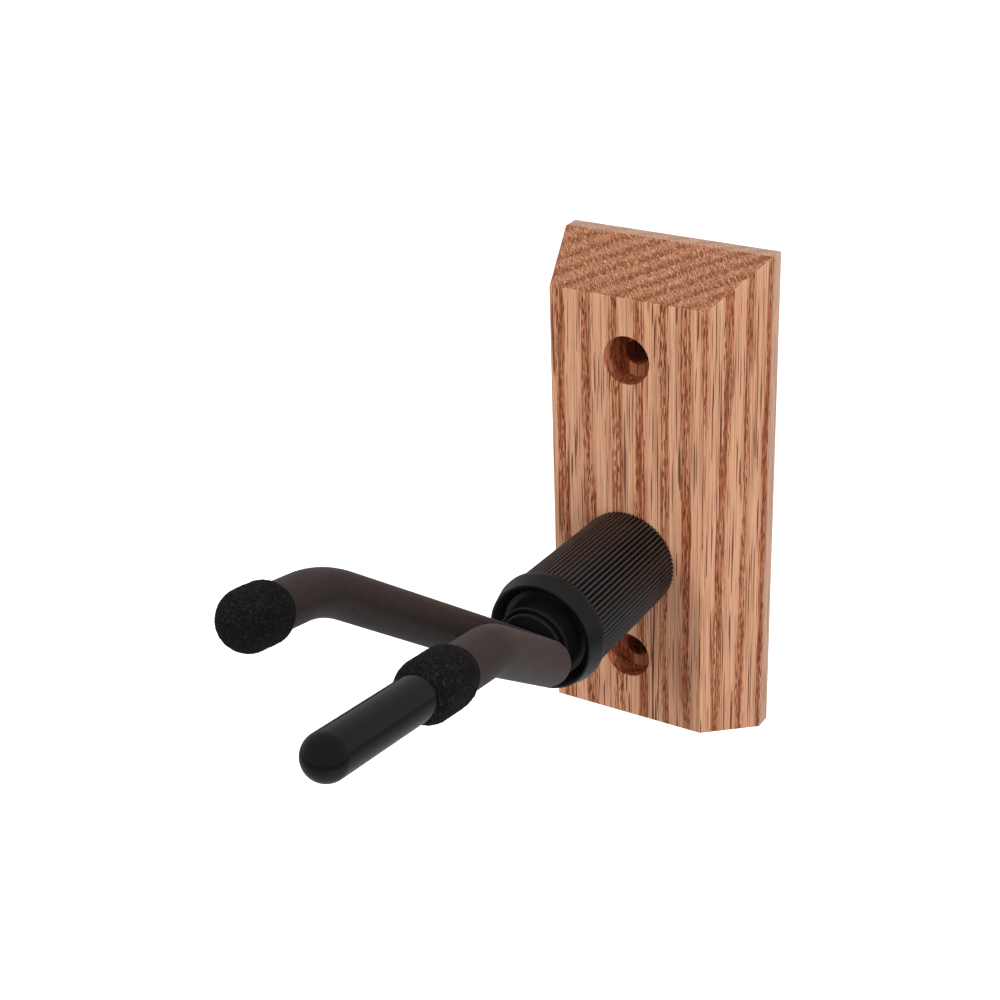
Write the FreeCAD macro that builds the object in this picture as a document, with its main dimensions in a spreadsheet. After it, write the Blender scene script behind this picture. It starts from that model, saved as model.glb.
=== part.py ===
import FreeCAD, Part
import math
import os
import Sketcher

# Wall hanger: an oak block, a ribbed round holder that stands out of it, and a rubber-covered steel
# fork that swivels on a stem inside the holder. Millimetres. The origin is the centre of the block's
# back face, on the wall. +Z is up, the wall is the plane Y = 0, and the hanger stands out towards -Y.

V = FreeCAD.Vector
doc = FreeCAD.newDocument("wall_hanger")

# ---------------------------------------------------------------- driving dimensions

SIZES = [
    # oak block
    ("block_width", 57.15),
    ("block_height", 133.35),
    ("block_depth", 26.5),
    ("band_depth", 4.8),
    ("side_bevel", 7.35),
    ("end_bevel", 8.05),
    ("edge_round", 0.4),
    ("upper_hole_height", 42.65),
    ("lower_hole_height", -40.55),
    ("counterbore_radius", 6.3),
    ("counterbore_depth", 6.0),
    ("screw_hole_radius", 3.25),
    # stem axis, and the room for its nut behind the block
    ("stem_height", -12.1),
    ("recess_radius", 15.0),
    ("recess_depth", 10.0),
    # ribbed holder
    ("holder_back_radius", 13.25),
    ("holder_front_radius", 14.0),
    ("holder_front", 65.5),
    ("rib_count", 72),
    ("rib_depth", 0.45),
    ("rib_groove_flare", 1.6),
    ("spigot_radius", 8.5),
    ("spigot_gap", 0.05),
    ("spigot_back", 13.0),
    ("bush_seat_radius", 7.05),
    ("rear_seat_front", 25.0),
    ("stem_passage_radius", 5.5),
    ("front_seat_back", 49.0),
    ("collar_seat_radius", 11.05),
    ("collar_seat_back", 60.0),
    # collar
    ("collar_radius", 14.8),
    ("collar_shoulder", 67.2),
    ("collar_front", 71.3),
    ("collar_lip_radius", 13.7),
    ("collar_lip_round", 0.2),
    ("collar_shoulder_round", 1.2),
    ("collar_rear_bevel", 0.5),
    ("dish_radius", 13.2),
    ("dish_floor_radius", 11.2),
    ("dish_floor", 69.0),
    ("collar_spigot_radius", 11.0),
    # bushes
    ("bush_bore_radius", 4.8),
    ("bush_radius", 7.0),
    ("cup_base_radius", 9.9),
    ("cup_radius", 9.25),
    ("cup_bore_radius", 8.4),
    ("cup_floor", 71.5),
    ("cup_front", 74.5),
    ("cup_rim_round", 0.4),
    ("bush_back_gap", 0.2),
    ("rear_bush_front", 24.0),
    ("rear_flange_radius", 8.2),
    ("rear_flange_back", 11.0),
    # stem
    ("stem_radius", 4.75),
    ("thread_radius", 4.0),
    ("thread_front", 10.95),
    ("thread_chamfer", 0.6),
    ("stem_back", 1.2),
    ("disc_radius", 8.1),
    ("disc_back", 72.5),
    ("disc_front", 75.7),
    ("disc_round", 0.5),
    ("stub_radius", 3.6),
    ("stub_front", 78.6),
    # washers and nut
    ("running_gap", 0.1),
    ("thrust_washer_thickness", 0.8),
    ("washer_bore_radius", 4.1),
    ("washer_radius", 7.4),
    ("rear_washer_thickness", 1.2),
    ("spring_washer_radius", 7.2),
    ("spring_washer_thickness", 0.7),
    ("spring_washer_rise", 0.5),
    ("nut_front", 8.5),
    ("nut_back", 2.0),
    ("nut_flats", 13.0),
    ("nut_bore_radius", 4.02),
    ("insert_radius", 5.4),
    ("insert_front", 3.8),
    ("nut_corner_reach", 3.0),
    ("nut_corner_height", 1.6),
    # screws that hold the holder to the block
    ("holder_screw_count", 3),
    ("holder_screw_circle", 10.6),
    ("holder_screw_radius", 1.5),
    ("holder_screw_hole_radius", 1.55),
    ("holder_screw_tip", 36.0),
    ("holder_screw_head_radius", 2.5),
    ("holder_screw_head_height", 2.0),
    ("holder_screw_head_round", 0.9),
    ("holder_screw_taper", 2.0),
    ("holder_screw_clearance", 0.5),
    ("slot_half_length", 3.0),
    ("slot_half_width", 0.4),
    ("slot_depth", 0.9),
    # fork centre line; the two arms are bent by hand and differ a little
    ("swivel_angle", 4.56),
    ("fork_apex", 79.7),
    ("fork_arc_radius", 10.5),
    ("fork_rise", 35.34),
    ("left_spread", 15.8),
    ("left_side_length", 51.8),
    ("left_bend_radius", 30.0),
    ("left_arm_rise", 10.5),
    ("left_arm_splay", 0.8),
    ("left_arm_length", 27.1),
    ("right_spread", 9.5),
    ("right_side_length", 49.4),
    ("right_bend_radius", 18.5),
    ("right_arm_rise", 12.0),
    ("right_arm_splay", 3.95),
    ("right_arm_length", 64.9),
    # fork coverings, measured along an arm from its bend's corner
    ("rod_radius", 4.0),
    ("sleeve_bore_radius", 4.02),
    ("sleeve_radius", 5.5),
    ("stub_hole_radius", 3.8),
    ("disc_gap", 0.05),
    ("pad_bore_radius", 4.02),
    ("pad_rear_round", 2.85),
    ("bore_end_gap", 0.1),
    ("round_margin", 0.1),
    ("ball_radius", 6.95),
    ("ball_start", 15.85),
    ("ball_end", 31.55),
    ("ring_radius", 6.75),
    ("ring_start", 15.4),
    ("ring_end", 32.0),
    ("peg_start", 32.1),
    ("peg_end", 69.8),
    ("peg_radius", 4.86),
    ("peg_rim_round", 0.25),
]

sheet = doc.addObject("Spreadsheet::Sheet", "Sizes")
for row, (alias, number) in enumerate(SIZES, start=1):
    sheet.set("A%d" % row, alias)
    sheet.set("B%d" % row, str(number))
    sheet.setAlias("B%d" % row, alias)
doc.recompute()


def size(alias):
    return float(sheet.get(alias))


def value_of(expression):
    """What an expression over the sheet comes to now."""
    return float(sheet.evalExpression(expression))


# ---------------------------------------------------------------- frames

# A turned piece is drawn with its axis along its own Z, which then points away from the wall.
TURNED = FreeCAD.Placement(V(0, 0, 0), FreeCAD.Rotation(V(1, 0, 0), 90))
STEM_AXIS = FreeCAD.Placement(V(0, 0, size("stem_height")), FreeCAD.Rotation())
SWIVEL = FreeCAD.Placement(V(0, 0, 0), FreeCAD.Rotation(V(0, 1, 0), size("swivel_angle")))
HOLDER_FRAME = STEM_AXIS.multiply(TURNED)
FORK_FRAME = STEM_AXIS.multiply(SWIVEL)
STEM_FRAME = FORK_FRAME.multiply(TURNED)

# ---------------------------------------------------------------- body and sketch helpers


def new_body(label):
    body = doc.addObject("PartDesign::Body", label)
    body.Label = label
    return body


def plane_of(body, role):
    for feature in body.Origin.OriginFeatures:
        if feature.Role == role:
            return feature
    raise ValueError(role)


def new_sketch(body, name, role="XZ_Plane", height=None):
    """A sketch on one of the body's own origin planes, raised by an expression when given."""
    sketch = body.newObject("Sketcher::SketchObject", body.Label + "_" + name)
    sketch.AttachmentSupport = (plane_of(body, role), "")
    sketch.MapMode = "FlatFace"
    if height is not None:
        sketch.setExpression("AttachmentOffset.Base.z", height)
    return sketch


def place_point(sketch, geometry, point, across, along):
    """Hold a sketch point at two expressions over the sheet, measured from the sketch's origin."""
    for kind, axis, expression in (("DistanceX", -2, across), ("DistanceY", -1, along)):
        if value_of(expression) == 0:
            sketch.addConstraint(Sketcher.Constraint("PointOnObject", geometry, point, axis))
        else:
            distance = Sketcher.Constraint(kind, -1, 1, geometry, point, value_of(expression))
            index = sketch.addConstraint(distance)
            sketch.setExpression("Constraints[%d]" % index, expression)


def draw_outline(sketch, points):
    """A closed outline of straight lines; each corner is a pair of expressions."""
    corners = [V(value_of(across), value_of(along), 0) for across, along in points]
    count = len(corners)
    for i in range(count):
        sketch.addGeometry(Part.LineSegment(corners[i], corners[(i + 1) % count]), False)
    for i in range(count):
        sketch.addConstraint(Sketcher.Constraint("Coincident", i, 2, (i + 1) % count, 1))
    for i, (across, along) in enumerate(points):
        place_point(sketch, i, 1, across, along)


def draw_circle(sketch, across, along, radius):
    centre = V(value_of(across), value_of(along), 0)
    circle = sketch.addGeometry(Part.Circle(centre, V(0, 0, 1), value_of(radius)), False)
    place_point(sketch, circle, 3, across, along)
    index = sketch.addConstraint(Sketcher.Constraint("Radius", circle, value_of(radius)))
    sketch.setExpression("Constraints[%d]" % index, radius)


def turn(label, frame, points):
    """A body turned about its Z from an outline of (radius, distance along the axis) corners."""
    body = new_body(label)
    sketch = new_sketch(body, "profile")
    draw_outline(sketch, points)
    turned = body.newObject("PartDesign::Revolution", label + "_turned")
    turned.Profile = sketch
    turned.ReferenceAxis = (sketch, ["V_Axis"])
    turned.Angle = 360
    body.Placement = frame
    doc.recompute()
    return body


def rims_at(shape, rims):
    """Names of the circular edges whose (radius, distance along Z) match one of rims."""
    names = []
    for i, edge in enumerate(shape.Edges, start=1):
        if not isinstance(edge.Curve, Part.Circle):
            continue
        radius = edge.Curve.Radius
        height = edge.Curve.Center.z
        if any(abs(radius - value_of(r)) < 0.01 and abs(height - value_of(z)) < 0.01 for r, z in rims):
            names.append("Edge%d" % i)
    return names


def round_rims(body, radius, rims):
    """Fillet a turned body's rims."""
    base = body.Tip
    fillet = body.newObject("PartDesign::Fillet", "%s_round%d" % (body.Label, len(body.Group)))
    fillet.Base = (base, rims_at(base.Shape, rims))
    fillet.setExpression("Radius", radius)
    doc.recompute()


def pocket(body, name, sketch, length=None, reverse=False):
    """Cut a sketch out of the body, right through it when no length is given."""
    before = body.Shape.Volume
    cut = body.newObject("PartDesign::Pocket", body.Label + "_" + name)
    cut.Profile = sketch
    cut.Reversed = reverse
    if length is None:
        cut.Type = "ThroughAll"
    else:
        cut.setExpression("Length", length)
    doc.recompute()
    if body.Shape.Volume >= before:
        raise RuntimeError(body.Label + ": " + name + " cut nothing")
    return cut


def repeat_round(body, feature, count, axis_role):
    """Repeat a cut evenly round one of the body's axes."""
    pattern = body.newObject("PartDesign::PolarPattern", feature.Name + "_round")
    pattern.Originals = [feature]
    pattern.Axis = (plane_of(body, axis_role), [""])
    pattern.Angle = 360
    pattern.setExpression("Occurrences", count)
    body.Tip = pattern
    doc.recompute()
    return pattern


# ---------------------------------------------------------------- fixed pieces


def make_mounting_block():
    """The block: a square-edged band against the wall, then a bevel on all four sides."""
    body = new_body("mounting_block")
    band = body.newObject("PartDesign::AdditiveBox", "mounting_block_band")
    band.setExpression("Length", "Sizes.block_width")
    band.setExpression("Width", "Sizes.band_depth")
    band.setExpression("Height", "Sizes.block_height")
    band.setExpression("Placement.Base.x", "-Sizes.block_width / 2")
    band.setExpression("Placement.Base.y", "-Sizes.band_depth")
    band.setExpression("Placement.Base.z", "-Sizes.block_height / 2")
    bevel = body.newObject("PartDesign::AdditiveWedge", "mounting_block_bevel")
    spans = {
        "Xmin": "-Sizes.block_width / 2",
        "Xmax": "Sizes.block_width / 2",
        "Zmin": "-Sizes.block_height / 2",
        "Zmax": "Sizes.block_height / 2",
        "X2min": "-Sizes.block_width / 2 + Sizes.side_bevel",
        "X2max": "Sizes.block_width / 2 - Sizes.side_bevel",
        "Z2min": "-Sizes.block_height / 2 + Sizes.end_bevel",
        "Z2max": "Sizes.block_height / 2 - Sizes.end_bevel",
        "Ymin": "Sizes.band_depth",
        "Ymax": "Sizes.block_depth",
    }
    for name, expression in spans.items():
        bevel.setExpression(name, expression)
    bevel.Placement = FreeCAD.Placement(V(0, 0, 0), FreeCAD.Rotation(V(0, 0, 1), 180))
    doc.recompute()

    ease = body.newObject("PartDesign::Fillet", "mounting_block_ease")
    ease.Base = (bevel, ["Edge%d" % i for i in range(1, len(bevel.Shape.Edges) + 1)])
    ease.setExpression("Radius", "Sizes.edge_round")
    doc.recompute()

    for name in ("upper", "lower"):
        height = "Sizes.%s_hole_height" % name
        mouth = new_sketch(body, name + "_mouth", height="Sizes.block_depth")
        draw_circle(mouth, "0", height, "Sizes.counterbore_radius")
        pocket(body, name + "_counterbore", mouth, "Sizes.counterbore_depth")
        hole = new_sketch(body, name + "_hole", height="Sizes.block_depth")
        draw_circle(hole, "0", height, "Sizes.screw_hole_radius")
        pocket(body, name + "_screw_hole", hole)

    recess = new_sketch(body, "recess_outline", height="Sizes.recess_depth")
    draw_circle(recess, "0", "Sizes.stem_height", "Sizes.recess_radius")
    pocket(body, "recess", recess, "Sizes.recess_depth")
    passage = new_sketch(body, "passage_outline", height="Sizes.block_depth")
    draw_circle(passage, "0", "Sizes.stem_height", "Sizes.spigot_radius + Sizes.spigot_gap")
    pocket(body, "passage", passage)
    for i, (across, along) in enumerate(holder_screw_places()):
        hole = new_sketch(body, "holder_screw_outline%d" % i, height="Sizes.block_depth")
        draw_circle(hole, across, "Sizes.stem_height + " + along, "Sizes.holder_screw_hole_radius")
        pocket(body, "holder_screw_hole%d" % i, hole)
    return body


def holder_screw_places():
    """Where the holder screws are, as expressions measured from the stem's axis, one of them on top."""
    count = int(size("holder_screw_count"))
    angles = [90 + 360 * i // count for i in range(count)]
    return [
        ("Sizes.holder_screw_circle * cos(%d deg)" % angle, "Sizes.holder_screw_circle * sin(%d deg)" % angle)
        for angle in angles
    ]


def make_holder_body():
    """The round holder: a spigot in the block, bush and collar seats, and ribs down its slight taper."""
    body = turn("holder_body", HOLDER_FRAME, [
        ("Sizes.bush_seat_radius", "Sizes.spigot_back"),
        ("Sizes.spigot_radius", "Sizes.spigot_back"),
        ("Sizes.spigot_radius", "Sizes.block_depth"),
        ("Sizes.holder_back_radius", "Sizes.block_depth"),
        ("Sizes.holder_front_radius", "Sizes.holder_front"),
        ("Sizes.collar_seat_radius", "Sizes.holder_front"),
        ("Sizes.collar_seat_radius", "Sizes.collar_seat_back"),
        ("Sizes.bush_seat_radius", "Sizes.collar_seat_back"),
        ("Sizes.bush_seat_radius", "Sizes.front_seat_back"),
        ("Sizes.stem_passage_radius", "Sizes.front_seat_back"),
        ("Sizes.stem_passage_radius", "Sizes.rear_seat_front"),
        ("Sizes.bush_seat_radius", "Sizes.rear_seat_front"),
    ])
    for i, (across, along) in enumerate(holder_screw_places()):
        hole = new_sketch(body, "screw_outline%d" % i, "XY_Plane", "Sizes.holder_screw_tip")
        draw_circle(hole, across, along, "Sizes.holder_screw_hole_radius")
        pocket(body, "screw_hole%d" % i, hole, "Sizes.holder_screw_tip - Sizes.block_depth")
    groove = new_sketch(body, "groove_outline", "XY_Plane", "Sizes.holder_front")
    half_pitch = "Sizes.holder_front_radius * tan(180 deg / Sizes.rib_count)"
    draw_outline(groove, [
        ("Sizes.holder_front_radius - Sizes.rib_depth", "0"),
        ("Sizes.holder_front_radius + Sizes.rib_depth", "-Sizes.rib_groove_flare * " + half_pitch),
        ("Sizes.holder_front_radius + Sizes.rib_depth", "Sizes.rib_groove_flare * " + half_pitch),
    ])
    first = pocket(body, "groove", groove, "Sizes.holder_front - Sizes.block_depth")
    first.UseCustomVector = True
    first.AlongSketchNormal = True
    first.Direction = V(value_of("Sizes.holder_back_radius - Sizes.holder_front_radius"), 0,
                        value_of("Sizes.block_depth - Sizes.holder_front"))
    doc.recompute()
    repeat_round(body, first, "Sizes.rib_count", "Z_Axis")
    return body


def make_holder_collar():
    """The smooth front ring: a convex outer band round a dished face."""
    body = turn("holder_collar", HOLDER_FRAME, [
        ("Sizes.bush_seat_radius", "Sizes.collar_seat_back"),
        ("Sizes.collar_spigot_radius", "Sizes.collar_seat_back"),
        ("Sizes.collar_spigot_radius", "Sizes.holder_front"),
        ("Sizes.collar_radius - Sizes.collar_rear_bevel", "Sizes.holder_front"),
        ("Sizes.collar_radius", "Sizes.holder_front + Sizes.collar_rear_bevel"),
        ("Sizes.collar_radius", "Sizes.collar_shoulder"),
        ("Sizes.collar_lip_radius", "Sizes.collar_front"),
        ("Sizes.dish_radius", "Sizes.collar_front"),
        ("Sizes.dish_floor_radius", "Sizes.dish_floor"),
        ("Sizes.bush_seat_radius", "Sizes.dish_floor"),
    ])
    round_rims(body, "Sizes.collar_shoulder_round", [("Sizes.collar_radius", "Sizes.collar_shoulder")])
    round_rims(body, "Sizes.collar_lip_round", [("Sizes.dish_radius", "Sizes.collar_front")])
    return body


def make_front_bush():
    """The front bush: a sleeve in the collar, with a cup in front that rings the stem's disc."""
    body = turn("front_bush", HOLDER_FRAME, [
        ("Sizes.bush_bore_radius", "Sizes.front_seat_back + Sizes.bush_back_gap"),
        ("Sizes.bush_radius", "Sizes.front_seat_back + Sizes.bush_back_gap"),
        ("Sizes.bush_radius", "Sizes.dish_floor"),
        ("Sizes.cup_base_radius", "Sizes.dish_floor"),
        ("Sizes.cup_radius", "Sizes.cup_front"),
        ("Sizes.cup_bore_radius", "Sizes.cup_front"),
        ("Sizes.cup_bore_radius", "Sizes.cup_floor"),
        ("Sizes.bush_bore_radius", "Sizes.cup_floor"),
    ])
    round_rims(body, "Sizes.cup_rim_round", [("Sizes.cup_radius", "Sizes.cup_front")])
    return body


def make_rear_bush():
    return turn("rear_bush", HOLDER_FRAME, [
        ("Sizes.bush_bore_radius", "Sizes.rear_flange_back"),
        ("Sizes.rear_flange_radius", "Sizes.rear_flange_back"),
        ("Sizes.rear_flange_radius", "Sizes.spigot_back"),
        ("Sizes.bush_radius", "Sizes.spigot_back"),
        ("Sizes.bush_radius", "Sizes.rear_bush_front"),
        ("Sizes.bush_bore_radius", "Sizes.rear_bush_front"),
    ])


def make_holder_screw(index, across, along):
    """One round-headed screw, its head in the recess and its point in the holder."""
    place = FreeCAD.Placement(V(value_of(across), value_of(along), 0), FreeCAD.Rotation())
    head_back = "Sizes.recess_depth - Sizes.holder_screw_head_height"
    body = turn("holder_screw%d" % index, HOLDER_FRAME.multiply(place), [
        ("0", head_back),
        ("Sizes.holder_screw_head_radius", head_back),
        ("Sizes.holder_screw_head_radius", "Sizes.recess_depth"),
        ("Sizes.holder_screw_radius", "Sizes.recess_depth"),
        ("Sizes.holder_screw_radius", "Sizes.holder_screw_tip - Sizes.holder_screw_taper"),
        ("0", "Sizes.holder_screw_tip - Sizes.holder_screw_clearance"),
    ])
    round_rims(body, "Sizes.holder_screw_head_round", [("Sizes.holder_screw_head_radius", head_back)])
    slot = new_sketch(body, "slot_outline", "XY_Plane", head_back)
    draw_outline(slot, [
        ("-Sizes.slot_half_length", "-Sizes.slot_half_width"),
        ("Sizes.slot_half_length", "-Sizes.slot_half_width"),
        ("Sizes.slot_half_length", "Sizes.slot_half_width"),
        ("-Sizes.slot_half_length", "Sizes.slot_half_width"),
    ])
    pocket(body, "slot", slot, "Sizes.slot_depth", reverse=True)
    return body


def make_holder_screws():
    screws = doc.addObject("Part::Compound", "holder_screws")
    screws.Links = [make_holder_screw(i, *place) for i, place in enumerate(holder_screw_places())]
    return screws


# ---------------------------------------------------------------- the fork's centre line

ACROSS = V(1, 0, 0)
LEFT = -1
RIGHT = 1
SIDE_NAMES = {LEFT: "left", RIGHT: "right"}


def side_size(side, name):
    return size(SIDE_NAMES[side] + "_" + name)


def heading(rise, side, outward):
    """A unit vector away from the wall, raised by one angle and turned to a side by another."""
    rise = math.radians(rise)
    outward = math.radians(outward)
    ahead = V(0, -math.cos(rise), math.sin(rise))
    return ahead * math.cos(outward) + ACROSS * (side * math.sin(outward))


def side_direction(side):
    return heading(size("fork_rise"), side, side_size(side, "spread"))


def arm_direction(side):
    return heading(side_size(side, "arm_rise"), side, side_size(side, "arm_splay"))


def fork_arc_points(side):
    """Start, middle and end of one half of the arc that joins the fork's two sides."""
    radius = size("fork_arc_radius")
    forward = heading(size("fork_rise"), side, 0)
    centre = V(0, -size("fork_apex"), 0) + forward * radius
    quarter = math.radians(90 - side_size(side, "spread"))
    return [
        centre + ACROSS * (side * radius * math.sin(turned)) - forward * (radius * math.cos(turned))
        for turned in (0, quarter / 2, quarter)
    ]


def bend_corner(side):
    """Where the straight side and the straight arm would meet without their bend."""
    return fork_arc_points(side)[2] + side_direction(side) * side_size(side, "side_length")


def fork_half(side, arm_length):
    """Edges from the fork's apex to a point along one arm: arc, side, bend, arm."""
    arc = fork_arc_points(side)
    corner = bend_corner(side)
    inward = side_direction(side) * -1
    outward = arm_direction(side)
    half_angle = inward.getAngle(outward) / 2
    radius = side_size(side, "bend_radius")
    tangent = radius / math.tan(half_angle)
    bisector = (inward + outward).normalize()
    middle = corner + bisector * (radius / math.sin(half_angle) - radius)
    bend_start = corner + inward * tangent
    bend_end = corner + outward * tangent
    return [
        Part.Arc(*arc).toShape(),
        Part.LineSegment(arc[2], bend_start).toShape(),
        Part.Arc(bend_start, middle, bend_end).toShape(),
        Part.LineSegment(bend_end, corner + outward * arm_length).toShape(),
    ]


def add_line(name, edges):
    line = doc.addObject("Part::Feature", name)
    line.Shape = Part.Wire(Part.__sortEdges__(edges))
    return line


def sweep_round(name, line, radius):
    """A round bar of a given radius expression along a line, from the line's first point."""
    first = line.Shape.OrderedEdges[0]
    point = line.Shape.OrderedVertexes[0].Point
    tangent = first.tangentAt(first.Curve.parameter(point))
    circle = doc.addObject("Part::Circle", name + "_section")
    circle.setExpression("Radius", radius)
    circle.Placement = FreeCAD.Placement(point, FreeCAD.Rotation(V(0, 0, 1), tangent))
    sweep = doc.addObject("Part::Sweep", name)
    sweep.Sections = [circle]
    sweep.Spine = (line, ["Edge%d" % i for i in range(1, len(line.Shape.Edges) + 1)])
    sweep.Solid = True
    sweep.Frenet = False
    doc.recompute()
    return sweep


def cut(name, base, tool):
    result = doc.addObject("Part::Cut", name)
    result.Base = base
    result.Tool = tool
    doc.recompute()
    return result


def arm_frame(side, along):
    """The frame of a turned piece on an arm: its Z runs along the arm, from a distance along it."""
    place = bend_corner(side) + arm_direction(side) * value_of(along)
    return FORK_FRAME.multiply(FreeCAD.Placement(place, FreeCAD.Rotation(V(0, 0, 1), arm_direction(side))))


# ---------------------------------------------------------------- swivelling pieces


def make_fork_rod():
    """The bent steel rod, from the tip under the ball pad round to the tip inside the peg cap."""
    edges = fork_half(LEFT, size("left_arm_length")) + fork_half(RIGHT, size("right_arm_length"))
    rod = sweep_round("fork_rod", add_line("fork_line", edges), "Sizes.rod_radius")
    rod.Placement = FORK_FRAME
    return rod


def make_swivel_stem():
    """The stem: threaded end, shaft, disc, and a stub whose front is hollowed to seat on the rod."""
    shaft = turn("stem_shaft", TURNED, [
        ("0", "Sizes.stem_back"),
        ("Sizes.thread_radius - Sizes.thread_chamfer", "Sizes.stem_back"),
        ("Sizes.thread_radius", "Sizes.stem_back + Sizes.thread_chamfer"),
        ("Sizes.thread_radius", "Sizes.thread_front"),
        ("Sizes.stem_radius", "Sizes.thread_front"),
        ("Sizes.stem_radius", "Sizes.disc_back"),
        ("Sizes.disc_radius", "Sizes.disc_back"),
        ("Sizes.disc_radius", "Sizes.disc_front"),
        ("Sizes.stub_radius", "Sizes.disc_front"),
        ("Sizes.stub_radius", "Sizes.stub_front"),
        ("0", "Sizes.stub_front"),
    ])
    round_rims(shaft, "Sizes.disc_round", [("Sizes.disc_radius", "Sizes.disc_front")])
    arcs = [Part.Arc(*fork_arc_points(side)).toShape() for side in (LEFT, RIGHT)]
    seat = sweep_round("stem_seat", add_line("stem_seat_line", arcs), "Sizes.rod_radius")
    stem = cut("swivel_stem", shaft, seat)
    stem.Placement = FORK_FRAME
    return stem


def make_sleeve(label, side, end):
    """One rubber sleeve, from the fork's middle to the pad, let in round the stem's stub and disc."""
    line = add_line(label + "_line", fork_half(side, size(end)))
    outer = sweep_round(label + "_outer", line, "Sizes.sleeve_radius")
    inner = sweep_round(label + "_bore", line, "Sizes.sleeve_bore_radius")
    sleeve = cut(label + "_tube", outer, inner)
    for name, radius, reach in (
        ("stub_hole", "Sizes.stub_hole_radius", "Sizes.fork_apex"),
        ("disc_seat", "Sizes.disc_radius + Sizes.disc_gap", "Sizes.disc_front + Sizes.disc_gap"),
    ):
        room = doc.addObject("Part::Cylinder", label + "_" + name)
        room.setExpression("Radius", radius)
        room.setExpression("Height", reach)
        room.Placement = TURNED
        sleeve = cut(label + "_past_" + name, sleeve, room)
    sleeve.Label = label
    sleeve.Placement = FORK_FRAME
    return sleeve


def make_ball_pad():
    """The foam cap that closes the left arm, drawn from its open end."""
    length = "(Sizes.ball_end - Sizes.ball_start)"
    depth = "(Sizes.left_arm_length - Sizes.ball_start + Sizes.bore_end_gap)"
    body = turn("ball_pad", arm_frame(LEFT, "Sizes.ball_start"), [
        ("Sizes.pad_bore_radius", "0"),
        ("Sizes.ball_radius", "0"),
        ("Sizes.ball_radius", length),
        ("0", length),
        ("0", depth),
        ("Sizes.pad_bore_radius", depth),
    ])
    round_rims(body, "Sizes.pad_rear_round", [("Sizes.ball_radius", "0")])
    round_rims(body, "Sizes.ball_radius - Sizes.round_margin", [("Sizes.ball_radius", length)])
    return body


def make_ring_pad():
    """The foam ring between the sleeve and the peg cap."""
    length = "(Sizes.ring_end - Sizes.ring_start)"
    body = turn("ring_pad", arm_frame(RIGHT, "Sizes.ring_start"), [
        ("Sizes.pad_bore_radius", "0"),
        ("Sizes.ring_radius", "0"),
        ("Sizes.ring_radius", length),
        ("Sizes.pad_bore_radius", length),
    ])
    round_rims(body, "Sizes.ring_radius - Sizes.pad_bore_radius - Sizes.round_margin", [
        ("Sizes.ring_radius", "0"),
        ("Sizes.ring_radius", length),
    ])
    return body


def make_peg_cap():
    """The long glossy cap on the end of the right arm, drawn from its open end."""
    length = "(Sizes.peg_end - Sizes.peg_start)"
    depth = "(Sizes.right_arm_length - Sizes.peg_start + Sizes.bore_end_gap)"
    body = turn("peg_cap", arm_frame(RIGHT, "Sizes.peg_start"), [
        ("Sizes.pad_bore_radius", "0"),
        ("Sizes.peg_radius", "0"),
        ("Sizes.peg_radius", length),
        ("0", length),
        ("0", depth),
        ("Sizes.pad_bore_radius", depth),
    ])
    round_rims(body, "Sizes.peg_rim_round", [("Sizes.peg_radius", "0")])
    round_rims(body, "Sizes.peg_radius - Sizes.round_margin", [("Sizes.peg_radius", length)])
    return body


def make_washer(label, inner, outer, back, front):
    return turn(label, STEM_FRAME, [(inner, back), (outer, back), (outer, front), (inner, front)])


def make_washers():
    """The thrust washer behind the disc, then the flat and spring washers in front of the nut."""
    thrust_back = "Sizes.disc_back - Sizes.thrust_washer_thickness"
    thrust = make_washer("thrust_washer", "Sizes.bush_bore_radius", "Sizes.washer_radius",
                         thrust_back, "Sizes.disc_back")
    flat_front = "Sizes.rear_flange_back - Sizes.running_gap"
    flat_back = flat_front + " - Sizes.rear_washer_thickness"
    flat = make_washer("rear_washer", "Sizes.washer_bore_radius", "Sizes.washer_radius",
                       flat_back, flat_front)
    rise = "Sizes.spring_washer_rise"
    spring = turn("spring_washer", STEM_FRAME, [
        ("Sizes.washer_bore_radius", "Sizes.nut_front"),
        ("Sizes.spring_washer_radius", "Sizes.nut_front + " + rise),
        ("Sizes.spring_washer_radius", "Sizes.nut_front + Sizes.spring_washer_thickness + " + rise),
        ("Sizes.washer_bore_radius", "Sizes.nut_front + Sizes.spring_washer_thickness"),
    ])
    return [thrust, flat, spring]


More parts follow.
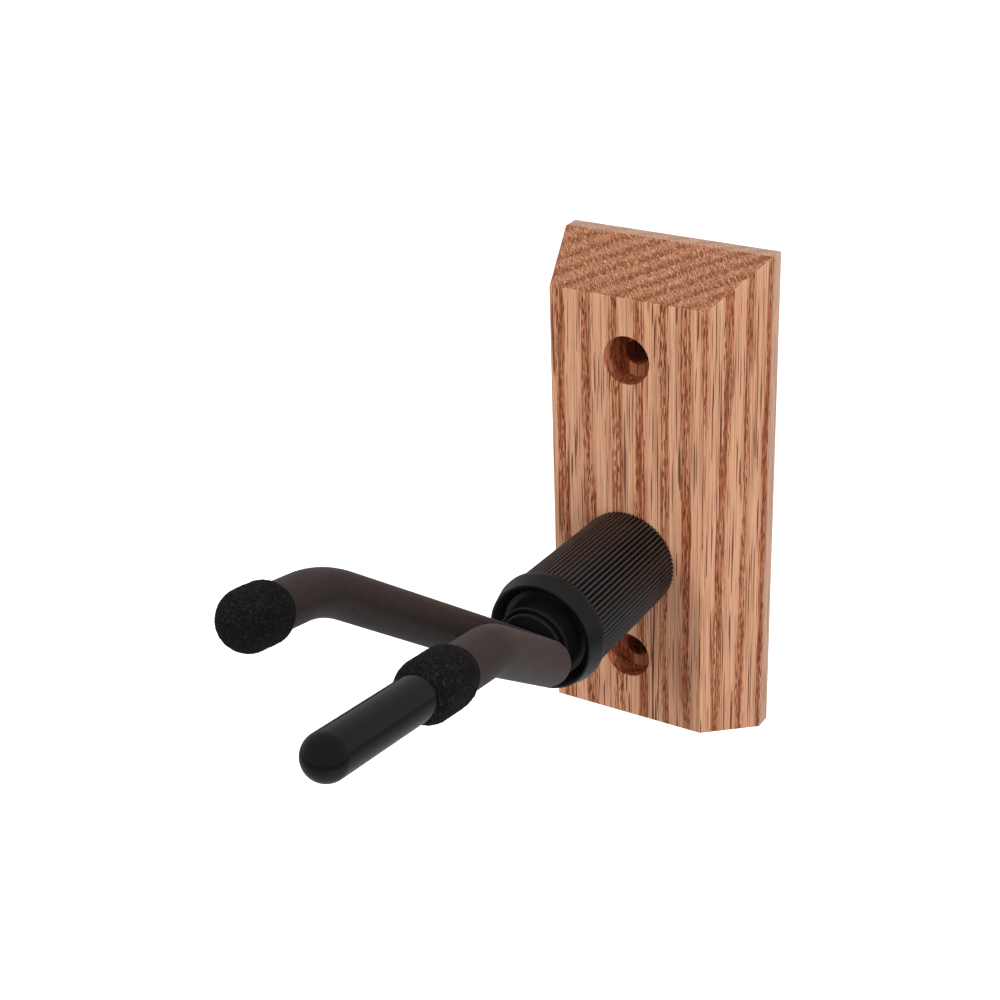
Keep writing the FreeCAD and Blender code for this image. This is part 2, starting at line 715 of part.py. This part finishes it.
def make_lock_nut():
    """A hexagon nut with chamfered corners and a seat for its nylon ring."""
    body = new_body("lock_nut")
    hexagon = new_sketch(body, "hexagon", "XY_Plane", "Sizes.nut_back")
    corner = "Sizes.nut_flats / 2 / cos(30 deg)"
    draw_outline(hexagon, [
        ("%s * cos(%d deg)" % (corner, angle), "%s * sin(%d deg)" % (corner, angle))
        for angle in range(15, 375, 60)
    ])
    pad = body.newObject("PartDesign::Pad", "lock_nut_pad")
    pad.Profile = hexagon
    pad.setExpression("Length", "Sizes.nut_front - Sizes.nut_back")
    doc.recompute()
    bore = new_sketch(body, "bore_outline", "XY_Plane", "Sizes.nut_front")
    draw_circle(bore, "0", "0", "Sizes.nut_bore_radius")
    pocket(body, "bore", bore)
    seat = new_sketch(body, "seat_outline", "XY_Plane", "Sizes.insert_front")
    draw_circle(seat, "0", "0", "Sizes.insert_radius")
    pocket(body, "seat", seat, "Sizes.insert_front - Sizes.nut_back")
    corner_cut = new_sketch(body, "corner_outline")
    draw_outline(corner_cut, [
        ("Sizes.nut_flats / 2", "Sizes.nut_back"),
        ("Sizes.nut_flats / 2 + Sizes.nut_corner_reach", "Sizes.nut_back"),
        ("Sizes.nut_flats / 2 + Sizes.nut_corner_reach", "Sizes.nut_back + Sizes.nut_corner_height"),
    ])
    groove = body.newObject("PartDesign::Groove", "lock_nut_corners")
    groove.Profile = corner_cut
    groove.ReferenceAxis = (corner_cut, ["V_Axis"])
    groove.Angle = 360
    body.Placement = STEM_FRAME
    doc.recompute()
    return body


def make_nut_insert():
    return make_washer("nut_insert", "Sizes.nut_bore_radius", "Sizes.insert_radius",
                       "Sizes.nut_back", "Sizes.insert_front")


# ---------------------------------------------------------------- build, check and write

pieces = [
    make_mounting_block(),
    make_holder_body(),
    make_holder_collar(),
    make_front_bush(),
    make_rear_bush(),
    make_holder_screws(),
    make_fork_rod(),
    make_swivel_stem(),
    make_sleeve("left_sleeve", LEFT, "ball_start"),
    make_sleeve("right_sleeve", RIGHT, "ring_start"),
    make_ball_pad(),
    make_ring_pad(),
    make_peg_cap(),
    make_lock_nut(),
    make_nut_insert(),
] + make_washers()
doc.recompute()

for obj in doc.Objects:
    if "Invalid" in obj.State or "Error" in obj.State:
        raise RuntimeError("%s failed: %s" % (obj.Name, obj.State))

os.makedirs("parts", exist_ok=True)
for piece in pieces:
    if piece.Shape.isNull() or not piece.Shape.isValid():
        raise RuntimeError(piece.Label + " has no valid shape")
    piece.Shape.exportStep(os.path.join("parts", piece.Label + ".step"))
    print("%-16s %d solid(s), %.1f mm3" % (piece.Label, len(piece.Shape.Solids), piece.Shape.Volume))
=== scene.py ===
import math

import bmesh
import bpy
from mathutils import Matrix, Vector, noise


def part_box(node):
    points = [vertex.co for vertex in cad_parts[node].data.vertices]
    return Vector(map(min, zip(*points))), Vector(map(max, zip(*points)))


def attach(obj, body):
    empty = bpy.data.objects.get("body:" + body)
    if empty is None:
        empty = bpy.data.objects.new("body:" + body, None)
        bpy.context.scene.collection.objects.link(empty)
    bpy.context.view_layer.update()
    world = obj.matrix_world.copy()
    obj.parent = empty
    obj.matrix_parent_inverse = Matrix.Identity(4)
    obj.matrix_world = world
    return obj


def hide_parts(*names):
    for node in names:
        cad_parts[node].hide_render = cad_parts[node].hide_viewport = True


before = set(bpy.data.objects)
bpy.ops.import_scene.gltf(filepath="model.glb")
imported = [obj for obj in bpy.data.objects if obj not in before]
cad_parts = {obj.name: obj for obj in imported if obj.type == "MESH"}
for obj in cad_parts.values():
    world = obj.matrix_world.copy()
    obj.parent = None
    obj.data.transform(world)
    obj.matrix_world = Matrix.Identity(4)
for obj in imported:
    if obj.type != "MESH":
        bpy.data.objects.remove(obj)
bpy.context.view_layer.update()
scene = bpy.context.scene

# The swivel's axis runs along Y at this height. Lengths are in metres unless a name says mm.
STEM_HEIGHT = -0.0121

# ---------------------------------------------------------------- finishes


class Finish:
    """One material: its shader, and short ways to add the nodes that feed it."""

    def __init__(self, name, settings):
        self.material = bpy.data.materials.new(name)
        self.material.use_nodes = True
        self.nodes = self.material.node_tree.nodes
        self.links = self.material.node_tree.links
        self.shader = self.nodes["Principled BSDF"]
        for socket, value in settings.items():
            self.set(socket, value)
        self.place = self.add("ShaderNodeTexCoord").outputs["Object"]

    def set(self, socket, value):
        """Give one of the shader's sockets a number, a colour or another node's output."""
        self.feed(self.shader.inputs[socket], value)

    def feed(self, socket, value):
        if isinstance(value, bpy.types.NodeSocket):
            self.links.new(value, socket)
        else:
            socket.default_value = value

    def add(self, kind, inputs=(), **settings):
        node = self.nodes.new(kind)
        for name, value in settings.items():
            setattr(node, name, value)
        for socket, value in dict(inputs).items():
            self.feed(node.inputs[socket], value)
        return node

    def math(self, operation, *values):
        node = self.add("ShaderNodeMath", operation=operation)
        for socket, value in zip(node.inputs, values):
            self.feed(socket, value)
        return node.outputs["Value"]

    def split(self, vector):
        """A vector's X, Y and Z."""
        return self.add("ShaderNodeSeparateXYZ", {"Vector": vector}).outputs

    def grid(self, size_mm, start=(0, 0, 0), turn=0.0):
        """The place on the piece in steps of size_mm along each axis, turned about Z first."""
        turned = self.add("ShaderNodeMapping", {
            "Vector": self.place,
            "Rotation": (0, 0, math.radians(turn)),
        })
        return self.add("ShaderNodeMapping", {
            "Vector": turned.outputs["Vector"],
            "Location": start,
            "Scale": tuple(1000 / step for step in size_mm),
        }).outputs["Vector"]

    def mottle(self, size_mm, detail, **where):
        """Soft noise from 0 to 1 whose patches are about size_mm."""
        node = self.add("ShaderNodeTexNoise", {
            "Vector": self.grid(size_mm, **where),
            "Scale": 1.0,
            "Detail": detail,
        })
        return node.outputs["Fac"]

    def cells(self, size_mm, **where):
        """Distance to the nearest of scattered points about size_mm apart."""
        node = self.add("ShaderNodeTexVoronoi", {"Vector": self.grid(size_mm, **where), "Scale": 1.0})
        return node.outputs["Distance"]

    def step(self, value, low, high):
        """0 below low, 1 above high, smooth between; a low above high turns it round."""
        flipped = low > high
        node = self.add("ShaderNodeMapRange", {
            "Value": value,
            "From Min": min(low, high),
            "From Max": max(low, high),
            "To Min": 1.0 if flipped else 0.0,
            "To Max": 0.0 if flipped else 1.0,
        }, interpolation_type="SMOOTHSTEP")
        return node.outputs["Result"]

    def span(self, value, low, high):
        """value from 0 to 1 stretched to run from low to high."""
        node = self.add("ShaderNodeMapRange", {"Value": value, "To Min": low, "To Max": high})
        return node.outputs["Result"]

    def blend(self, amount, first, second, kind="MIX"):
        node = self.add("ShaderNodeMix", data_type="RGBA", blend_type=kind)
        self.feed(node.inputs["Factor"], amount)
        for socket, value in ((node.inputs[6], first), (node.inputs[7], second)):
            self.feed(socket, (*value, 1) if isinstance(value, tuple) else value)
        return node.outputs[2]

    def ramp(self, value, *stops):
        """A colour band of (position, colour) stops."""
        node = self.add("ShaderNodeValToRGB", {"Fac": value})
        band = node.color_ramp.elements
        while len(band) < len(stops):
            band.new(0.5)
        for element, (position, colour) in zip(band, stops):
            element.position = position
            element.color = (*colour, 1)
        return node.outputs["Color"]

    def emboss(self, height, depth_mm, strength):
        bump = self.add("ShaderNodeBump", {
            "Height": height,
            "Distance": depth_mm / 1000,
            "Strength": strength,
        })
        self.set("Normal", bump.outputs["Normal"])


# The oak's grain runs up the block. Its growth rings are turned from the wall by this angle in degrees
# and grew round a core this far off; a growth under 1 makes the years wider further out.
GRAIN_TURN = -42.0
CORE_DISTANCE_MM = 40.0
RING_GROWTH = 0.75
RING_WIDTH = 1.63

FAINT_STREAK = (0.660, 0.330, 0.185)
RUST_STRAND = (0.250, 0.064, 0.026)
PALE_STRAND = (0.790, 0.450, 0.280)
PORE_BROWN = (0.150, 0.034, 0.012)
SLIT_BROWN = (0.115, 0.029, 0.012)
VESSEL_BROWN = (0.115, 0.030, 0.011)
PALE_RAY = (0.640, 0.340, 0.200)
SAWN_WOOD = (0.660, 0.460, 0.360)
SAWN_BAND = (-0.0050, -0.0044)


def oak_mottle(oak, size_mm, seed, detail=2.0):
    """Noise that follows the grain; the seed picks another stretch of the same wood."""
    return oak.mottle(size_mm, detail, start=(seed, 2 * seed, 3 * seed), turn=GRAIN_TURN)


def oak_year(oak):
    """How far through its year each bit of wood grew, from 0 to 1."""
    across = oak.split(oak.grid((1, 1, 1), turn=GRAIN_TURN))["Y"]
    wanders = (
        oak.span(oak_mottle(oak, (40, 40, 160), 3.1), -3.0, 3.0),
        oak.span(oak_mottle(oak, (5, 5, 60), 7.7), -0.9, 0.9),
        oak.span(oak_mottle(oak, (0.45, 0.45, 12), 1.3), -0.8, 0.8),
    )
    for wander in wanders:
        across = oak.math("ADD", across, wander)
    from_core = oak.math("MAXIMUM", oak.math("ADD", across, CORE_DISTANCE_MM), 0.01)
    return oak.math("FRACT", oak.math("DIVIDE", oak.math("POWER", from_core, RING_GROWTH), RING_WIDTH))


def oak_long_grain(oak, year):
    """The colour of the sides, then how open the grain is and the height of its strands."""
    porous = oak.math("MULTIPLY", oak.step(year, 0.0, 0.05), oak.step(year, 0.46, 0.30))
    side = oak.ramp(
        year,
        (0.00, (0.590, 0.270, 0.145)),
        (0.05, (0.430, 0.144, 0.066)),
        (0.26, (0.455, 0.160, 0.076)),
        (0.40, (0.640, 0.312, 0.178)),
        (0.80, (0.745, 0.412, 0.262)),
        (1.00, (0.665, 0.335, 0.200)),
    )
    faint = oak.step(oak_mottle(oak, (3.0, 3.0, 90), 8.9), 0.38, 0.58)
    side = oak.blend(oak.math("MULTIPLY", faint, 0.35), side, FAINT_STREAK)

    strands = oak_mottle(oak, (0.34, 0.34, 24), 5.9)
    rust = oak.math("MULTIPLY", oak.step(strands, 0.48, 0.60), oak.span(porous, 0.35, 0.75))
    side = oak.blend(rust, side, RUST_STRAND)
    side = oak.blend(oak.math("MULTIPLY", oak.step(strands, 0.45, 0.34), 0.6), side, PALE_STRAND)

    pores = oak.cells((0.32, 0.32, 3.2), start=(1.0, 4.0, 2.0), turn=GRAIN_TURN)
    pitted = oak.math("MULTIPLY", oak.step(pores, 0.45, 0.32), oak.span(porous, 0.05, 0.95))
    side = oak.blend(pitted, side, PORE_BROWN)

    slits = oak_mottle(oak, (0.36, 6, 24), 11.3, detail=1.0)
    slit = oak.math("MULTIPLY", oak.step(slits, 0.616, 0.636), oak.span(porous, 0.9, 0.4))
    side = oak.blend(slit, side, SLIT_BROWN)
    return side, oak.math("MAXIMUM", pitted, slit), strands


def oak_end_grain(oak, year):
    """The colour of the top and the underside, where the rings are cut across."""
    end = oak.ramp(
        year,
        (0.00, (0.375, 0.155, 0.080)),
        (0.10, (0.260, 0.088, 0.042)),
        (0.35, (0.300, 0.108, 0.052)),
        (0.60, (0.415, 0.180, 0.098)),
        (1.00, (0.375, 0.155, 0.080)),
    )
    vessels = oak.cells((0.50, 0.50, 30), turn=GRAIN_TURN)
    end = oak.blend(oak.math("MULTIPLY", oak.step(vessels, 0.50, 0.30), 0.8), end, VESSEL_BROWN)
    rays = oak_mottle(oak, (0.26, 2.0, 60), 2.7)
    return oak.blend(oak.math("MULTIPLY", oak.step(rays, 0.53, 0.63), 0.75), end, PALE_RAY)


def make_oak(name, tint):
    """Red oak with rings that run right through it, and a paler sawn band along its back."""
    oak = Finish(name, {"Specular IOR Level": 0.12})
    year = oak_year(oak)
    side, open_grain, strands = oak_long_grain(oak, year)

    facing = oak.split(oak.add("ShaderNodeTexCoord").outputs["Normal"])
    endwise = oak.step(oak.math("ABSOLUTE", facing["Z"]), 0.55, 0.75)
    wood = oak.blend(endwise, side, oak_end_grain(oak, year))
    sawn = oak.math("MULTIPLY", oak.step(oak.split(oak.place)["Y"], *SAWN_BAND), 0.45)
    wood = oak.blend(sawn, wood, SAWN_WOOD)
    oak.set("Base Color", oak.blend(1.0, wood, tint, "MULTIPLY"))

    oak.set("Roughness", oak.span(open_grain, 0.46, 0.75))
    relief = oak.math("SUBTRACT", oak.math("MULTIPLY", strands, 0.3), open_grain)
    oak.emboss(relief, 0.12, 0.7)
    return oak.material


HOLDER_BACK_RADIUS = 0.01325
HOLDER_FRONT_RADIUS = 0.0140
RIB_CREST = (-0.00016, -0.00004)
# The grooves are the nylon's black, darkened further by painted shade; the crests carry a painted
# highlight.
RIB_GROOVE_PAINTED_SHADE = (0.0008, 0.0008, 0.0009)
RIB_CREST_PAINTED_HIGHLIGHT = (0.034, 0.035, 0.037)


def mould_nylon(name):
    """Black nylon's shine and its faint unevenness from the mould, still without a colour."""
    nylon = Finish(name, {"Specular IOR Level": 0.45})
    clouding = nylon.mottle((7, 7, 7), 4.0)
    nylon.set("Roughness", nylon.span(clouding, 0.20, 0.36))
    nylon.emboss(nylon.mottle((0.35, 0.35, 0.35), 3.0), 0.02, 0.6)
    return nylon, clouding


def make_smooth_nylon():
    nylon, clouding = mould_nylon("moulded_nylon")
    nylon.set("Base Color", nylon.ramp(
        clouding,
        (0.30, (0.0030, 0.0030, 0.0033)),
        (0.75, (0.0065, 0.0065, 0.0070)),
    ))
    return nylon.material


def make_ribbed_nylon():
    """The holder's nylon, with a painted highlight along its ribs' crests and painted shade in their
    grooves; it widens towards the front.
    """
    nylon, _ = mould_nylon("ribbed_nylon")
    front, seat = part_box("holder_body")[0].y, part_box("mounting_block")[0].y
    widening = (HOLDER_FRONT_RADIUS - HOLDER_BACK_RADIUS) / (front - seat)
    place = nylon.split(nylon.place)
    lift = nylon.math("SUBTRACT", place["Z"], STEM_HEIGHT)
    radius = nylon.math("SQRT", nylon.math(
        "ADD",
        nylon.math("MULTIPLY", place["X"], place["X"]),
        nylon.math("MULTIPLY", lift, lift),
    ))
    outside = nylon.math("MULTIPLY_ADD", place["Y"], widening, HOLDER_BACK_RADIUS - seat * widening)
    crest = nylon.step(nylon.math("SUBTRACT", radius, outside), *RIB_CREST)
    # Painted highlight on the rib crests, painted shade in the grooves.
    nylon.set("Base Color", nylon.blend(crest, RIB_GROOVE_PAINTED_SHADE, RIB_CREST_PAINTED_HIGHLIGHT))
    return nylon.material


def make_tube_rubber():
    """Brown-black tubing with a soft sheen and a fine bloom."""
    rubber = Finish("tube_rubber", {
        "Specular IOR Level": 0.28,
        "Sheen Weight": 0.05,
        "Sheen Roughness": 0.4,
    })
    bloom = rubber.mottle((5, 5, 5), 4.0, start=(3, 1, 4))
    speckle = rubber.mottle((0.45, 0.45, 0.45), 2.0)
    rubber.set("Base Color", rubber.blend(
        rubber.step(speckle, 0.35, 0.75),
        rubber.ramp(bloom, (0.3, (0.0250, 0.0165, 0.0158)), (0.7, (0.0320, 0.0215, 0.0208))),
        (0.042, 0.030, 0.029),
    ))
    rubber.set("Roughness", rubber.span(bloom, 0.42, 0.58))
    rubber.emboss(speckle, 0.05, 0.5)
    return rubber.material


def make_cell_foam():
    """Black closed-cell foam, matte and pitted."""
    foam = Finish("cell_foam", {"Roughness": 0.85, "Specular IOR Level": 0.22})
    cells = foam.cells((0.5, 0.5, 0.5))
    skin = foam.mottle((1.6, 1.6, 1.6), 3.0)
    foam.set("Base Color", foam.ramp(
        foam.math("ADD", cells, foam.span(skin, -0.25, 0.25)),
        (0.1, (0.002, 0.002, 0.002)),
        (0.6, (0.007, 0.007, 0.007)),
        (1.0, (0.021, 0.021, 0.021)),
    ))
    foam.emboss(foam.math("ADD", cells, skin), 0.22, 1.0)
    return foam.material


def make_dipped_vinyl():
    """Glossy black dipped vinyl, its surface a little wavy."""
    vinyl = Finish("dipped_vinyl", {"Base Color": (0.0022, 0.0022, 0.0024, 1), "Specular IOR Level": 0.36})
    vinyl.set("Roughness", vinyl.span(vinyl.mottle((3, 3, 3), 4.0, start=(5, 5, 1)), 0.11, 0.24))
    vinyl.emboss(vinyl.mottle((6, 14, 6), 2.0), 0.25, 0.25)
    return vinyl.material


def make_black_steel():
    """Turned and bent steel under a thin black coat."""
    steel = Finish("black_steel", {"Base Color": (0.006, 0.006, 0.0065, 1), "Specular IOR Level": 0.4})
    steel.set("Roughness", steel.span(steel.mottle((1.5, 1.5, 1.5), 4.0), 0.28, 0.46))
    steel.emboss(steel.mottle((0.25, 0.25, 0.25), 2.0), 0.015, 0.5)
    return steel.material


def make_zinc_steel():
    """Zinc plate with its dull and bright patches."""
    zinc = Finish("zinc_steel", {"Metallic": 1.0})
    patches = zinc.mottle((2.5, 2.5, 2.5), 4.0)
    zinc.set("Base Color", zinc.ramp(patches, (0.3, (0.50, 0.50, 0.49)), (0.7, (0.68, 0.67, 0.64))))
    zinc.set("Roughness", zinc.span(patches, 0.25, 0.45))
    return zinc.material


def make_white_nylon():
    """Milky nylon that lets a little light in."""
    nylon = Finish("white_nylon", {"Base Color": (0.78, 0.76, 0.70, 1), "Subsurface Weight": 0.1})
    nylon.set("Roughness", nylon.span(nylon.mottle((2, 2, 2), 3.0), 0.38, 0.55))
    return nylon.material


cell_foam = make_cell_foam()
FINISHED_NODES = (
    (make_oak("red_oak", (1.0, 1.0, 1.0)), ("mounting_block",)),
    (make_ribbed_nylon(), ("holder_body",)),
    (make_smooth_nylon(), ("holder_collar", "front_bush", "rear_bush")),
    (make_black_steel(), ("swivel_stem", "fork_rod")),
    (make_tube_rubber(), ("left_sleeve", "right_sleeve")),
    (make_dipped_vinyl(), ("peg_cap",)),
    (make_zinc_steel(), ("holder_screws", "rear_washer", "spring_washer", "lock_nut")),
    (make_white_nylon(), ("thrust_washer", "nut_insert")),
    (cell_foam, ("ball_pad", "ring_pad")),
)
for finish, names in FINISHED_NODES:
    for name in names:
        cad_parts[name].material_slots[0].material = finish

# The block's holes lie within this far of its middle, across and up, and its bevels lie outside it.
HOLE_FIELD = (0.020, 0.057)
FACE_MARGIN = 0.0002


def darken_bores():
    """The walls and floors of the block's holes are a darker, rougher cut."""
    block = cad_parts["mounting_block"].data
    block.materials.append(make_oak("bored_oak", (0.72, 0.50, 0.40)))
    front, back = (corner.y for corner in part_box("mounting_block"))
    for face in block.polygons:
        centre = face.center
        between = front + FACE_MARGIN < centre.y < back - FACE_MARGIN
        if between and abs(centre.x) < HOLE_FIELD[0] and abs(centre.z) < HOLE_FIELD[1]:
            face.material_index = 1


darken_bores()

# ---------------------------------------------------------------- foam pads

# The fork in its own frame: origin on the stem's axis at the wall, before the swivel. Each arm is
# (side, spread, side length, rise, splay), in degrees and metres.
SWIVEL = math.radians(4.56)
FORK_APEX = 0.0797
ARC_RADIUS = 0.0105
FORK_RISE = 35.34
LEFT_ARM = (-1, 15.8, 0.0518, 10.5, 0.8)
RIGHT_ARM = (1, 9.5, 0.0494, 12.0, 3.95)


def heading(rise, side, outward):
    """A unit vector away from the wall, raised by one angle and turned to a side by another."""
    rise, outward = math.radians(rise), math.radians(outward)
    ahead = Vector((0, -math.cos(rise), math.sin(rise)))
    return ahead * math.cos(outward) + Vector((side * math.sin(outward), 0, 0))


def arm_frame(arm, along):
    """A matrix whose Z runs out along an arm, from a distance past its bend's corner."""
    side, spread, side_length, rise, splay = arm
    forward = heading(FORK_RISE, side, 0)
    turned = math.radians(90 - spread)
    arc_end = Vector((side * ARC_RADIUS * math.sin(turned), -FORK_APEX, 0))
    arc_end += forward * ARC_RADIUS * (1 - math.cos(turned))
    corner = arc_end + heading(FORK_RISE, side, spread) * side_length
    outward = heading(rise, side, splay)
    fork = Matrix.Translation((0, 0, STEM_HEIGHT)) @ Matrix.Rotation(SWIVEL, 4, "Y")
    place = Matrix.Translation(corner + outward * along)
    return fork @ place @ outward.to_track_quat("Z", "Y").to_matrix().to_4x4()


# Each pad starts this far along its arm, and an end's round is (inwards, along the pad).
PAD_BORE = 0.0041
BALL_START, BALL_RADIUS, BALL_LENGTH, BALL_BORE_DEPTH = 0.01585, 0.00695, 0.0157, 0.0113
BALL_BACK_ROUND = (0.00285, 0.0036)
RING_START, RING_RADIUS, RING_LENGTH = 0.0154, 0.00675, 0.0166
RING_BACK_ROUND = (0.00265, 0.0046)
RING_FRONT_ROUND = (0.00265, 0.0048)

ROUND_STEPS = 24
SPIN_STEPS = 200
LONG_EDGE = 0.0008
MERGE_GAP = 1e-7

# A foam skin's unevenness: (waves per metre, height) of its broad lumps, pits and fine pits.
FOAM_SKIN = ((260, 0.00009), (1500, 0.00008), (3200, 0.000056))


def rounded_outline(radius, length, back_round, front_round):
    """(radius, height) points from a pad's bore up its outside."""
    points = [(PAD_BORE, 0.0)]
    corners = (
        (radius - back_round[0], back_round[1], back_round, -90),
        (radius - front_round[0], length - front_round[1], front_round, 0),
    )
    for middle, height, (inwards, along), start in corners:
        for i in range(ROUND_STEPS + 1):
            angle = math.radians(start + 90 * i / ROUND_STEPS)
            points.append((middle + inwards * math.cos(angle), height + along * math.sin(angle)))
    return points


def ball_outline():
    """A blind bore and a domed end, so the outline starts and ends on the axis."""
    dome = (BALL_RADIUS, BALL_RADIUS)
    bore_floor = [(0.0, BALL_BORE_DEPTH), (PAD_BORE, BALL_BORE_DEPTH)]
    outside = rounded_outline(BALL_RADIUS, BALL_LENGTH, BALL_BACK_ROUND, dome)
    return bore_floor + outside[:-1] + [(0.0, BALL_LENGTH)]


def ring_outline():
    """A bore right through."""
    return rounded_outline(RING_RADIUS, RING_LENGTH, RING_BACK_ROUND, RING_FRONT_ROUND)


def turn_pad(name, outline, place):
    """A foam pad spun from its outline, then roughened all over; an outline that ends off the axis
    is joined back to its start."""
    bm = bmesh.new()
    rim = [bm.verts.new((r, 0, h)) for r, h in outline]
    edges = [bm.edges.new(pair) for pair in zip(rim, rim[1:])]
    if outline[-1][0] > 0:
        edges.append(bm.edges.new((rim[-1], rim[0])))
    long_edges = [edge for edge in edges if edge.calc_length() > LONG_EDGE]
    bmesh.ops.subdivide_edges(bm, edges=long_edges, cuts=ROUND_STEPS)
    bmesh.ops.spin(
        bm, geom=bm.verts[:] + bm.edges[:], cent=(0, 0, 0), axis=(0, 0, 1), dvec=(0, 0, 0),
        angle=math.tau, steps=SPIN_STEPS, use_merge=True, use_duplicate=False,
    )
    bmesh.ops.remove_doubles(bm, verts=bm.verts[:], dist=MERGE_GAP)
    bmesh.ops.recalc_face_normals(bm, faces=bm.faces[:])
    bm.normal_update()
    roughen(bm)
    bmesh.ops.transform(bm, matrix=place, verts=bm.verts[:])
    mesh = bpy.data.meshes.new(name)
    bm.to_mesh(mesh)
    bm.free()
    mesh.shade_smooth()
    mesh.materials.append(cell_foam)
    pad = bpy.data.objects.new(name, mesh)
    scene.collection.objects.link(pad)
    return pad


def roughen(bm):
    """Move a foam skin in and out along its normals."""
    moves = []
    for vert in bm.verts:
        height = sum(tall * noise.noise(vert.co * waves) for waves, tall in FOAM_SKIN)
        moves.append(vert.normal * height)
    for vert, move in zip(bm.verts, moves):
        vert.co += move


ball = turn_pad("ball_foam", ball_outline(), arm_frame(LEFT_ARM, BALL_START))
ring = turn_pad("ring_foam", ring_outline(), arm_frame(RIGHT_ARM, RING_START))
for pad, node in ((ball, "ball_pad"), (ring, "ring_pad")):
    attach(pad, "fork")
    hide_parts(node)

# ---------------------------------------------------------------- camera, light and floor

HANGER_MIDDLE = Vector((0, -0.09, 0))
FLOOR_RADIUS = 3.0
FLOOR_HEIGHT = -0.45


def place_camera():
    """Looks down on the hanger from its front right. The block's middle stands aim_right and aim_up
    picture widths off the picture's middle."""
    azimuth = math.radians(32.05)
    elevation = math.radians(26.32)
    roll = math.radians(-2.15)
    distance = 0.51367
    focal = 1.94732
    aim_right, aim_up = 0.17395, 0.02367
    forward = Vector((
        -math.sin(azimuth) * math.cos(elevation),
        math.cos(azimuth) * math.cos(elevation),
        -math.sin(elevation),
    ))
    level_right = Vector((math.cos(azimuth), math.sin(azimuth), 0))
    level_up = level_right.cross(forward)
    right = level_right * math.cos(roll) + level_up * math.sin(roll)
    up = level_up * math.cos(roll) - level_right * math.sin(roll)
    eye = -(right * aim_right + up * aim_up) * distance / focal - forward * distance
    lens = bpy.data.cameras.new("camera")
    lens.sensor_width = 36
    lens.lens = focal * lens.sensor_width
    lens.clip_start = 0.01
    camera = bpy.data.objects.new("camera", lens)
    turn = Matrix((right, up, -forward)).transposed()
    camera.matrix_world = Matrix.Translation(eye) @ turn.to_4x4()
    scene.collection.objects.link(camera)
    scene.camera = camera


def hang_light(name, at, size, watts):
    """A soft box aimed at the hanger; glossy pieces don't mirror it."""
    lamp = bpy.data.lights.new(name, "AREA")
    lamp.shape = "RECTANGLE"
    lamp.size, lamp.size_y = size
    lamp.energy = watts
    light = bpy.data.objects.new(name, lamp)
    light.visible_glossy = False
    aim = (HANGER_MIDDLE - Vector(at)).to_track_quat("-Z", "Y")
    light.matrix_world = Matrix.Translation(at) @ aim.to_matrix().to_4x4()
    scene.collection.objects.link(light)


def lay_floor():
    """A plain pale floor, white to look at but grey in what it throws back onto the hanger."""
    bm = bmesh.new()
    bmesh.ops.create_circle(bm, cap_ends=True, radius=FLOOR_RADIUS, segments=96)
    bmesh.ops.translate(bm, vec=(0, 0, FLOOR_HEIGHT), verts=bm.verts[:])
    mesh = bpy.data.meshes.new("floor")
    bm.to_mesh(mesh)
    bm.free()
    floor = bpy.data.objects.new("floor", mesh)
    paper = Finish("white_paper", {
        "Roughness": 0.9,
        "Specular IOR Level": 0.1,
        "Emission Color": (1, 1, 1, 1),
    })
    seen = paper.add("ShaderNodeLightPath").outputs["Is Camera Ray"]
    paper.set("Emission Strength", paper.span(seen, 0.0, 0.9))
    paper.set("Base Color", paper.blend(seen, (0.45, 0.45, 0.45), (0.9, 0.9, 0.9)))
    mesh.materials.append(paper.material)
    scene.collection.objects.link(floor)


def light_room(strength):
    """A soft white room, seen as plain white behind the hanger."""
    room = bpy.data.worlds.new("room")
    room.use_nodes = True
    nodes = room.node_tree.nodes
    seen = nodes.new("ShaderNodeLightPath").outputs["Is Camera Ray"]
    level = nodes.new("ShaderNodeMapRange")
    level.inputs["To Min"].default_value = strength
    level.inputs["To Max"].default_value = 1.0
    room.node_tree.links.new(seen, level.inputs["Value"])
    nodes["Background"].inputs["Color"].default_value = (1, 1, 1, 1)
    room.node_tree.links.new(level.outputs["Result"], nodes["Background"].inputs["Strength"])
    scene.world = room


place_camera()
light_room(0.36)
lay_floor()
hang_light("key", (-0.35, -0.75, 0.65), (0.6, 0.6), 6.0)
hang_light("right_fill", (0.75, -0.35, 0.15), (0.5, 0.7), 5.0)
hang_light("top", (-0.1, 0.25, 0.85), (1.2, 0.3), 3.2)
scene.view_settings.view_transform = "Standard"
